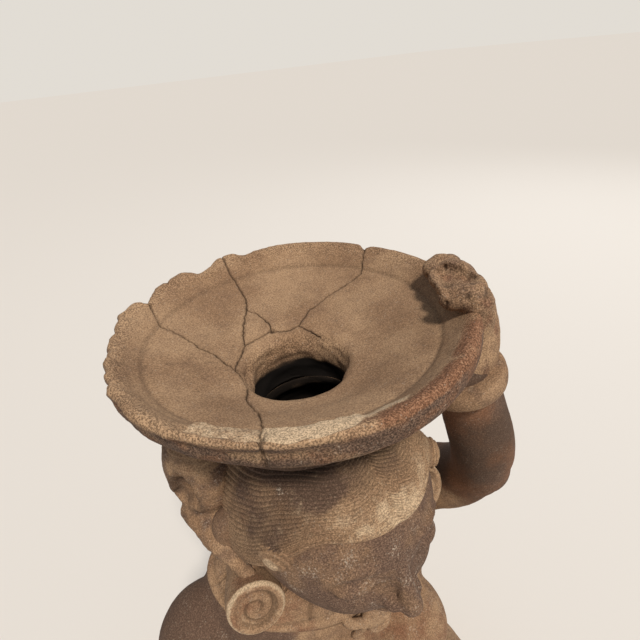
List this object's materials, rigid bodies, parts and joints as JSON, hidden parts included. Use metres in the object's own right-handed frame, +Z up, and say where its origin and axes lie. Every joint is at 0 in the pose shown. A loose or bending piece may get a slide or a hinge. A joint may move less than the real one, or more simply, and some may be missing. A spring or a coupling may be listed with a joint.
{
  "type": "terracotta statuette",
  "caption": "Kneeling terracotta woman carrying a shallow dish, open in the middle over the hollow of her head, and steadying its rim with her raised left hand.",
  "frame": {"origin": "middle of the underside of the low base, on the surface the figure stands on", "axes": "+Z up, the figure faces -Y, +X towards her left (raised) arm"},
  "size_m": [0.2549, 0.244, 0.4947],
  "materials": {
    "terracotta": "unglazed fired clay, worn and matt, grey-brown to red-brown with pale bare patches"
  },
  "bodies": {
    "root": {"terracotta_woman": "terracotta"}
  },
  "joints": []
}
